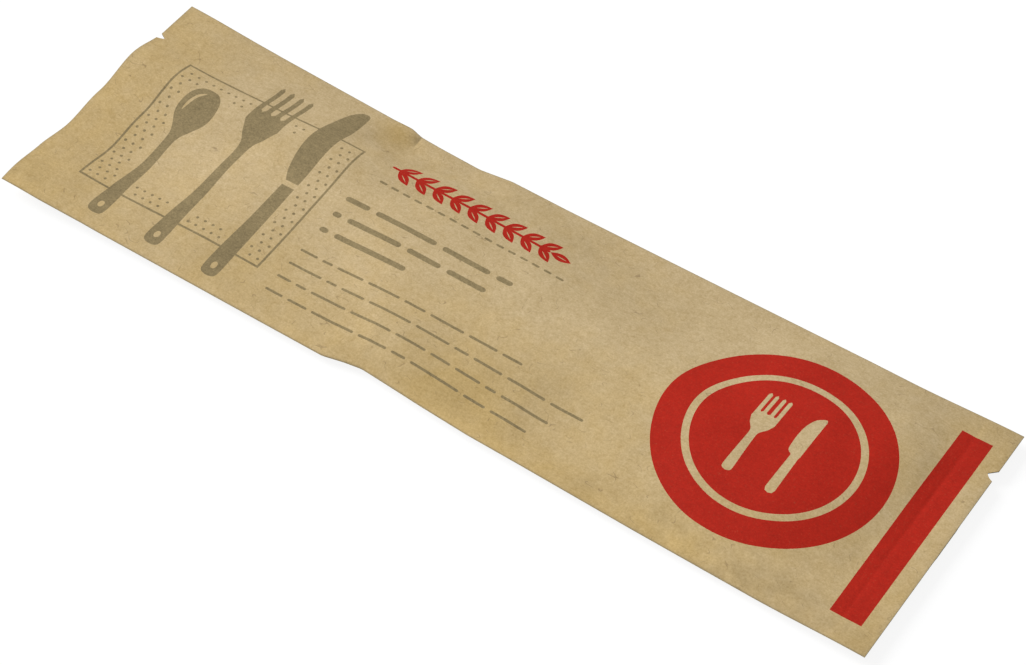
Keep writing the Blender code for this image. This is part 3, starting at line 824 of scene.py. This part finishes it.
def build_mesh(face, back, outline, bulge, slots):
    """Both sheets lifted to their heights and joined by the rim, as one closed mesh."""
    flat, faces, face_rim = face
    low_flat, low_faces, back_rim = back
    top = np.column_stack([flat, face_height(flat[:, 0], flat[:, 1])])
    low = np.column_stack([low_flat, back_height(low_flat[:, 0], low_flat[:, 1])])
    rings = rim_rings(outline, bulge, top[face_rim, 2], low[back_rim, 2])
    count = len(outline)
    starts = [len(top) + len(low) + count * at for at in range(len(rings))]
    loops = [np.array(face_rim)] + [start + np.arange(count) for start in starts]
    loops.append(len(top) + np.array(back_rim))
    rim = []
    for upper, lower in zip(loops, loops[1:]):
        rim += np.column_stack([upper, lower, np.roll(lower, -1), np.roll(upper, -1)]).tolist()
    low_faces = (low_faces[:, ::-1] + len(top)).tolist()
    places = np.vstack([top, low, *rings])
    mesh = bpy.data.meshes.new("packet_paper")
    mesh.from_pydata((places * MM).tolist(), [], faces.tolist() + low_faces + rim)
    folded = bulge != 0.0
    rim_slots = np.where(folded & np.roll(folded, -1), PAPER, EDGE)
    all_slots = [slots, np.full(len(low_faces), PAPER), np.tile(rim_slots, len(loops) - 1)]
    mesh.polygons.foreach_set("material_index", np.concatenate(all_slots).astype(np.int32))
    # Carried to the materials: yellowing with the tint of painted shade, painted light and shade, wear with
    # painted shade
    for name, value in (("warmth", warmth), ("painted_light_and_shade", painted_light_and_shade), ("wear_and_painted_shade", wear_and_painted_shade)):
        layer = mesh.attributes.new(name, "FLOAT", "POINT")
        layer.data.foreach_set("value", value(places[:, 0], places[:, 1]).astype(np.float32))
    return mesh, len(faces), len(low_faces)


def unwrap(mesh, face_count, back_count, rim_count):
    """The face, the back and the rim laid side by side in the texture square."""
    layer = mesh.uv_layers.new(name="OFBake")
    corners = np.empty(len(mesh.loops), np.int32)
    mesh.loops.foreach_get("vertex_index", corners)
    places = np.empty(len(mesh.vertices) * 3)
    mesh.vertices.foreach_get("co", places)
    places = places.reshape(-1, 3)[corners] / MM
    wide = 1.0 - 2.0 * UV_MARGIN
    scale = wide / LENGTH
    back, rim = 3 * face_count, 3 * (face_count + back_count)
    uv = np.column_stack([0.5 + places[:, 0] * scale, UV_FACE + places[:, 1] * scale])
    uv[back:rim, 1] = UV_BACK + places[back:rim, 1] * scale
    each = np.arange(rim_count)
    left, right = UV_MARGIN + wide * (each / rim_count), UV_MARGIN + wide * ((each + 1) / rim_count)
    for band in range((len(uv) - rim) // (4 * rim_count)):
        first = rim + 4 * (rim_count * band + each)
        high = UV_RIM - UV_BAND * band
        low = high - UV_BAND
        for corner, (u, v) in enumerate(((left, high), (left, low), (right, low), (right, high))):
            uv[first + corner, 0] = u
            uv[first + corner, 1] = v
    layer.data.foreach_set("uv", uv.astype(np.float32).ravel())


def print_shapes():
    """The shapes in red, and those in taupe."""
    figures = spoon(FIGURE_X) + fork(FIGURE_X + FIGURE_PITCH) + knife(FIGURE_X + 2.0 * FIGURE_PITCH)
    taupe = dash_row() + bar_rows() + figures + napkin_lines() + napkin_dots(figures)
    return plate() + sprig(), taupe


def face_lines():
    """Lines that the edges of the face follow: the pressed ones of its seals, the tuck and the rim."""
    seal_x, reach = HALF_LENGTH - SEAL, HALF_WIDTH - SEAL_LINE_INSET
    pressed = [[(end * (seal_x + beyond), -reach), (end * (seal_x + beyond), reach)]
               for end in (-1.0, 1.0) for beyond in SEAL_LINES]
    x, y = TUCK
    pinch = [[(x + side, y), (x + side, y - TUCK_HALF)] for side in TUCK_LINES]
    return pressed + pinch + rim_lines()


def back_lines():
    """Lines that the edges of the back follow: the creases of its seals, and the two sides of its seam."""
    seal_x = HALF_LENGTH - SEAL
    creases = [[(x, float(near_edge(x)) + FOLD_RADIUS + BACK_LINE_INSET),
                (x, float(far_edge(x)) - FOLD_RADIUS - BACK_LINE_INSET)] for x in (-seal_x, seal_x)]
    half, reach = 0.5 * SEAM_WIDTH, HALF_LENGTH - BACK_LINE_INSET
    sides = (-half - SEAM_ROOT_RUN, -half, half, half + SEAM_EDGE_RUN)
    return creases + [[(-reach, y), (reach, y)] for y in sides]


def build_packet(materials):
    """The packet as one object, with its print as fields of the face."""
    outline, bulge = sheet_outline()
    red, taupe = print_shapes()
    face = lay_out(outline, face_lines(), [loop for shape in red + taupe for loop in shape], FACE_SPACING)
    back = lay_out(outline, back_lines(), [], BACK_SPACING)
    centres = face[0][face[1]].mean(axis=1)
    slots = np.where(on_print(centres, red), RED, np.where(on_print(centres, taupe), TAUPE, PAPER))
    mesh, face_count, back_count = build_mesh(face, back, outline, bulge, slots)
    unwrap(mesh, face_count, back_count, len(outline))
    for material in materials:
        mesh.materials.append(material)
    mesh.shade_smooth()
    mesh.set_sharp_from_angle(angle=math.radians(SHARP_ANGLE))
    mesh.validate()
    packet = bpy.data.objects.new("packet_paper", mesh)
    bpy.context.scene.collection.objects.link(packet)
    return packet


# Materials. Their sizes are in millimetres and their colours in linear light.

# The bare paper, its two ends as it yellows and takes the tint of painted shade, the two inks and the cut
# edge
KRAFT = (0.515, 0.381, 0.188)
KRAFT_PALE = (0.510, 0.385, 0.207)
KRAFT_WARM = (0.520, 0.367, 0.152)
RED_INK = (0.410, 0.0175, 0.0085)
TAUPE_INK = (0.256, 0.197, 0.100)
CUT_EDGE = (0.170, 0.140, 0.090)

# How much of the shade of its fibres red, green and blue each take, which makes a darker spot a warmer one
SPOT_SHARES = (0.865, 1.01, 1.49)

# The colour of the folds and cut ends, darkened for wear and as painted shade, and of the flecks, and how far
# each covers the paper
FOLD_DARK = (0.230, 0.190, 0.115)
FOLD_WEAR_AND_SHADE = 0.50
FLECK_DARK = (0.20, 0.13, 0.06)
FLECK_COVER = 0.62

# The range in which noise is read: for the slow shades, for the grain, and for the roughness
SLOW_RANGE = (0.25, 0.75)
GRAIN_RANGE = (0.22, 0.78)
ROUGH_RANGE = (0.3, 0.7)

# The shade of the fibres: the clouds (size, detail, amount), the grain (size, detail, roughness, amount), and
# the strands (turn in degrees, shift), their stretch and (size, detail, amount)
CLOUDS = (7.0, 3.0, 0.06)
GRAINS = ((1.9, 2.0, 0.5, 0.050), (0.9, 1.0, 0.5, 0.075), (0.42, 2.0, 0.6, 0.16))
STRANDS = ((25.0, 0.0), (-40.0, 31.0), (80.0, 67.0))
STRAND_STRETCH = (0.45, 1.9, 1.0)
STRAND_NOISE = (0.8, 1.0, 0.022)

# How the yellowing drifts: (size, detail, amount)
WARM_DRIFTS = ((30.0, 1.0, 0.18), (4.5, 3.0, 0.20))

# The specks: how close they lie, how large and how soft they are, the noise that lets some of them through
# (size, from, to), and how dark they are
SPECK_SCALE = 0.45
SPECK_SIZE = 0.11
SPECK_SOFT = 0.05
SPECK_GATE = (1.3, 0.50, 0.62)
SPECK_SHARE = 0.5

# The hair fibres, thin bands in a noise: its turn, stretch and (size, detail), their width, then as above
HAIR_TURN = 33.0
HAIR_STRETCH = (0.6, 1.0, 1.0)
HAIR_NOISE = (3.6, 1.0)
HAIR_WIDTH = 0.010
HAIR_GATE = (2.4, 0.59, 0.65)
HAIR_SHARE = 0.9

# The fine relief: (size, detail, roughness, share) of its two parts, its depth in metres, and its strength
RELIEF = ((0.5, 3.0, 0.6, 0.35), (1.6, 2.0, 0.5, 0.65))
RELIEF_DEPTH = 0.00008
PAPER_RELIEF = 0.35
PRINT_RELIEF = 0.30
EDGE_RELIEF = 0.5

# Roughness: the size of its blotches on paper and print, and its lowest and highest value
PAPER_BLOTCH = 1.4
PRINT_BLOTCH = 1.2
PAPER_ROUGHNESS = (0.78, 0.90)
EDGE_ROUGHNESS = 0.9
PAPER_GLOSS = 0.25
INK_GLOSS = 0.08

# Where the ink is thin: (size, detail, roughness) of the noise, and the range in which it is read
THIN_NOISE = (0.40, 2.0, 0.6)
THIN_RANGE = (0.60, 0.80)

# Each print: its ink, how much paper and how much of the fibres' shade show in it, and its roughness
RED_PRINT = (RED_INK, 0.10, 0.8, (0.62, 0.76))
TAUPE_PRINT = (TAUPE_INK, 0.35, 1.3, (0.72, 0.84))


class Nodes:
    """Adds nodes to one material and links them."""

    def __init__(self, name):
        self.material = bpy.data.materials.new(name)
        self.material.use_nodes = True
        self.tree = self.material.node_tree
        self.shader = self.tree.nodes["Principled BSDF"]

    def add(self, kind, inputs=(), **settings):
        node = self.tree.nodes.new(kind)
        for key, value in settings.items():
            setattr(node, key, value)
        for socket, value in dict(inputs).items():
            self.feed(node.inputs[socket], value)
        return node

    def feed(self, socket, value):
        if isinstance(value, bpy.types.NodeSocket):
            self.tree.links.new(value, socket)
        else:
            socket.default_value = value

    def math(self, operation, first, second=0.0):
        return self.add("ShaderNodeMath", {0: first, 1: second}, operation=operation).outputs[0]

    def vector(self, operation, *values):
        return self.add("ShaderNodeVectorMath", enumerate(values), operation=operation).outputs[0]

    def attribute(self, name):
        return self.add("ShaderNodeAttribute", attribute_name=name).outputs["Fac"]

    def noise(self, place, size, detail=2.0, roughness=0.5):
        """Noise from 0 to 1 whose blotches are about the size given in millimetres."""
        return self.add("ShaderNodeTexNoise", {
            "Vector": place, "Scale": 1.0 / size, "Detail": detail, "Roughness": roughness}).outputs["Fac"]

    def span(self, value, low, high, to_low, to_high):
        """The value from one range laid out evenly in another, and held at its ends."""
        node = self.add("ShaderNodeMapRange", {
            "Value": value, "From Min": low, "From Max": high, "To Min": to_low, "To Max": to_high})
        return node.outputs["Result"]

    def mix(self, share, first, second):
        """From the first colour at 0 to the second at 1."""
        node = self.add("ShaderNodeMix", data_type="RGBA")
        for socket, value in ((0, share), (6, first), (7, second)):
            self.feed(node.inputs[socket], value)
        return node.outputs[2]

    def placed(self, place, turn=0.0, stretch=(1.0, 1.0, 1.0), shift=0.0):
        """The place turned by degrees about Z, stretched, and shifted along X."""
        node = self.add("ShaderNodeMapping", {
            "Vector": place, "Rotation": (0.0, 0.0, math.radians(turn)), "Scale": stretch,
            "Location": (shift, 0.0, 0.0)})
        return node.outputs[0]

    def surface(self, colour, roughness, gloss):
        self.feed(self.shader.inputs["Base Color"], colour)
        self.feed(self.shader.inputs["Roughness"], roughness)
        self.feed(self.shader.inputs["Specular IOR Level"], gloss)


def rgba(colour):
    return (*colour, 1.0)


def paper_place(made):
    """The place on the packet in millimetres."""
    return made.placed(made.add("ShaderNodeTexCoord").outputs["Object"], stretch=(1.0 / MM,) * 3)


def sway(made, place, reading, amount, *kind, about=0.0):
    """Noise that runs from the amount below to the amount above a value."""
    return made.span(made.noise(place, *kind), *reading, about - amount, about + amount)


def fibre_shade(made, place):
    """The brightness of the paper from its clouds, grain and fibres, around 1."""
    *kind, amount = CLOUDS
    total = sway(made, place, SLOW_RANGE, amount, *kind, about=1.0)
    for *kind, amount in GRAINS:
        total = made.math("ADD", total, sway(made, place, GRAIN_RANGE, amount, *kind))
    *kind, amount = STRAND_NOISE
    for turn, shift in STRANDS:
        strands = made.placed(place, turn, STRAND_STRETCH, shift)
        total = made.math("ADD", total, sway(made, strands, SLOW_RANGE, amount, *kind))
    return total


def gate(made, place, size, start, end, detail=2.0):
    """0 where the noise is under its start, and 1 where it is over its end."""
    return made.span(made.noise(place, size, detail), start, end, 0.0, 1.0)


def flecks(made, place):
    """Where small dark specks and hair fibres lie, from 0 to 1."""
    speck = made.add("ShaderNodeTexVoronoi", {"Vector": place, "Scale": SPECK_SCALE, "Randomness": 1.0})
    size = made.math("MULTIPLY", speck.outputs["Color"], SPECK_SIZE)
    dot = made.span(made.math("SUBTRACT", speck.outputs["Distance"], size), 0.0, SPECK_SOFT, 1.0, 0.0)
    dot = made.math("MULTIPLY", made.math("MULTIPLY", dot, gate(made, place, *SPECK_GATE)), SPECK_SHARE)
    bent = made.placed(place, HAIR_TURN, HAIR_STRETCH)
    line = made.math("ABSOLUTE", made.math("SUBTRACT", made.noise(bent, *HAIR_NOISE), 0.5))
    line = made.span(line, 0.0, HAIR_WIDTH, 1.0, 0.0)
    hair = made.math("MULTIPLY", line, gate(made, place, *HAIR_GATE, detail=0.0))
    return made.math("MAXIMUM", dot, made.math("MULTIPLY", hair, HAIR_SHARE))


def paper_relief(made, place, strength):
    """The fine relief of the paper, as a bump."""
    parts = [made.math("MULTIPLY", made.noise(place, *kind), share) for *kind, share in RELIEF]
    height = made.math("ADD", *parts)
    bump = made.add("ShaderNodeBump", {"Height": height, "Strength": strength, "Distance": RELIEF_DEPTH})
    made.feed(made.shader.inputs["Normal"], bump.outputs["Normal"])


def tinted(made, colour, shade):
    """A colour darkened and lightened by the shade."""
    return made.add("ShaderNodeVectorMath", {0: colour, "Scale": shade}, operation="SCALE").outputs[0]


def shaded_warm(made, colour, shade):
    """A colour under the shade of its fibres, where a darker spot is also a warmer one."""
    turn = made.vector("MULTIPLY_ADD", made.math("SUBTRACT", shade, 1.0), SPOT_SHARES, (1.0, 1.0, 1.0))
    return made.vector("MULTIPLY", colour, turn)


def kraft_paper():
    """The bare paper: yellowed and tinted with painted shade from place to place, lightened and darkened by
    painted light and shade, with fibres, flecks, and folds darkened for wear and as painted shade.
    """
    made = Nodes("kraft_paper")
    place = paper_place(made)
    # Warmer for yellowing and as the tint of painted shade
    warm = made.attribute("warmth")
    for *kind, amount in WARM_DRIFTS:
        warm = made.math("ADD", warm, sway(made, place, SLOW_RANGE, amount, *kind))
    base = made.mix(warm, rgba(KRAFT_PALE), rgba(KRAFT_WARM))
    # Painted light and shade lightens and darkens the paper here
    colour = tinted(made, shaded_warm(made, base, fibre_shade(made, place)), made.attribute("painted_light_and_shade"))
    colour = made.mix(made.math("MULTIPLY", flecks(made, place), FLECK_COVER), colour, rgba(FLECK_DARK))
    # The folds and cut ends darkened for wear and as painted shade where they turn away
    colour = made.mix(made.math("MULTIPLY", made.attribute("wear_and_painted_shade"), FOLD_WEAR_AND_SHADE), colour, rgba(FOLD_DARK))
    roughness = made.span(made.noise(place, PAPER_BLOTCH), *ROUGH_RANGE, *PAPER_ROUGHNESS)
    made.surface(colour, roughness, PAPER_GLOSS)
    paper_relief(made, place, PAPER_RELIEF)
    return made.material


def printed(name, colour, show, grain, roughness):
    """Ink on the paper. A little of the paper shows through its thin spots."""
    made = Nodes(name)
    place = paper_place(made)
    thin = made.span(made.noise(place, *THIN_NOISE), *THIN_RANGE, 0.0, show)
    base = made.mix(thin, rgba(colour), rgba(KRAFT))
    fibres = made.math("MULTIPLY", made.math("SUBTRACT", fibre_shade(made, place), 1.0), grain)
    # Painted light and shade lightens and darkens the ink too
    shade = made.math("MULTIPLY", made.attribute("painted_light_and_shade"), made.math("ADD", 1.0, fibres))
    blotches = made.span(made.noise(place, PRINT_BLOTCH), *ROUGH_RANGE, *roughness)
    made.surface(tinted(made, base, shade), blotches, INK_GLOSS)
    paper_relief(made, place, PRINT_RELIEF)
    return made.material


def cut_edge():
    """The edges of the plies at the cut ends."""
    made = Nodes("kraft_cut_edge")
    place = paper_place(made)
    made.surface(tinted(made, CUT_EDGE, fibre_shade(made, place)), EDGE_ROUGHNESS, PAPER_GLOSS)
    paper_relief(made, place, EDGE_RELIEF)
    return made.material


# Stage: a white floor, soft light from above and the left, and the camera

SKY = 0.35
SUN = 0.65
SUN_ANGLE = 40.0
SUN_FROM = Vector((-1.5, 0.0, 1.0))

# The floor's size in metres, its colour as it lights the packet and as the camera sees it, and its glow there
FLOOR_SIZE = 6.0
FLOOR_COLOUR = (0.80, 0.80, 0.80)
FLOOR_SEEN = (0.15, 0.15, 0.15)
FLOOR_GLOW = 0.88
FLOOR_ROUGHNESS = 0.9
WHITE = (1.0, 1.0, 1.0, 1.0)


def seen_ray(tree):
    """1 for rays from the camera, a gloss or a clear material, and 0 for all others."""
    path = tree.nodes.new("ShaderNodeLightPath")
    seen = path.outputs["Is Camera Ray"]
    for kind in ("Is Glossy Ray", "Is Transmission Ray"):
        either = tree.nodes.new("ShaderNodeMath")
        either.operation = "MAXIMUM"
        tree.links.new(seen, either.inputs[0])
        tree.links.new(path.outputs[kind], either.inputs[1])
        seen = either.outputs[0]
    return seen


def add_floor():
    half = 0.5 * FLOOR_SIZE
    mesh = bpy.data.meshes.new("floor")
    mesh.from_pydata([(x, y, 0.0) for x, y in box(-half, half, -half, half)], [], [(0, 1, 2, 3)])
    floor = bpy.data.objects.new("floor", mesh)
    bpy.context.scene.collection.objects.link(floor)
    made = Nodes("white_floor")
    seen = seen_ray(made.tree)
    made.surface(made.mix(seen, rgba(FLOOR_COLOUR), rgba(FLOOR_SEEN)), FLOOR_ROUGHNESS, 0.0)
    made.feed(made.shader.inputs["Emission Strength"], made.math("MULTIPLY", seen, FLOOR_GLOW))
    made.feed(made.shader.inputs["Emission Color"], WHITE)
    mesh.materials.append(made.material)


def light_world():
    """A white sky that gives less light than the camera sees in it."""
    world = bpy.data.worlds.new("studio")
    bpy.context.scene.world = world
    world.use_nodes = True
    tree = world.node_tree
    background = tree.nodes["Background"]
    level = tree.nodes.new("ShaderNodeMapRange")
    level.inputs["To Min"].default_value = SKY
    level.inputs["To Max"].default_value = 1.0
    tree.links.new(seen_ray(tree), level.inputs["Value"])
    tree.links.new(level.outputs[0], background.inputs["Strength"])
    background.inputs["Color"].default_value = WHITE


def add_sun():
    light = bpy.data.lights.new("soft_sun", "SUN")
    light.angle = math.radians(SUN_ANGLE)
    light.energy = SUN * math.pi / SUN_FROM.normalized().z
    lamp = bpy.data.objects.new("soft_sun", light)
    lamp.rotation_euler = SUN_FROM.to_track_quat("Z", "Y").to_euler()
    bpy.context.scene.collection.objects.link(lamp)


# The camera, solved from the packet's four corners in the photo: its place in metres, its right, down and
# forward directions, its lens and sensor in millimetres, and where it starts to see in metres
CAMERA_PLACE = Vector((0.244785, -0.413838, 0.551652))
CAMERA_RIGHT = Vector((0.83237, 0.55192, 0.05035))
CAMERA_DOWN = Vector((0.44657, -0.61413, -0.65070))
CAMERA_FORWARD = Vector((-0.32822, 0.56412, -0.75766))
CAMERA_LENS = 108.43
SENSOR_WIDTH = 36.0
CLIP_START = 0.01


def add_camera():
    camera = bpy.data.cameras.new("camera")
    camera.sensor_width = SENSOR_WIDTH
    camera.lens = CAMERA_LENS
    camera.clip_start = CLIP_START
    stand = bpy.data.objects.new("camera", camera)
    turned = Matrix((CAMERA_RIGHT, -CAMERA_DOWN, -CAMERA_FORWARD)).transposed()
    stand.matrix_world = Matrix.Translation(CAMERA_PLACE) @ turned.to_4x4()
    bpy.context.scene.collection.objects.link(stand)
    bpy.context.scene.camera = stand


add_camera()
add_floor()
light_world()
add_sun()
bpy.context.scene.view_settings.view_transform = "Standard"

packet = build_packet([
    kraft_paper(),
    printed("red_print", *RED_PRINT),
    printed("taupe_print", *TAUPE_PRINT),
    cut_edge(),
])
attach(packet, "root")
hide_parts("sealed_packet")
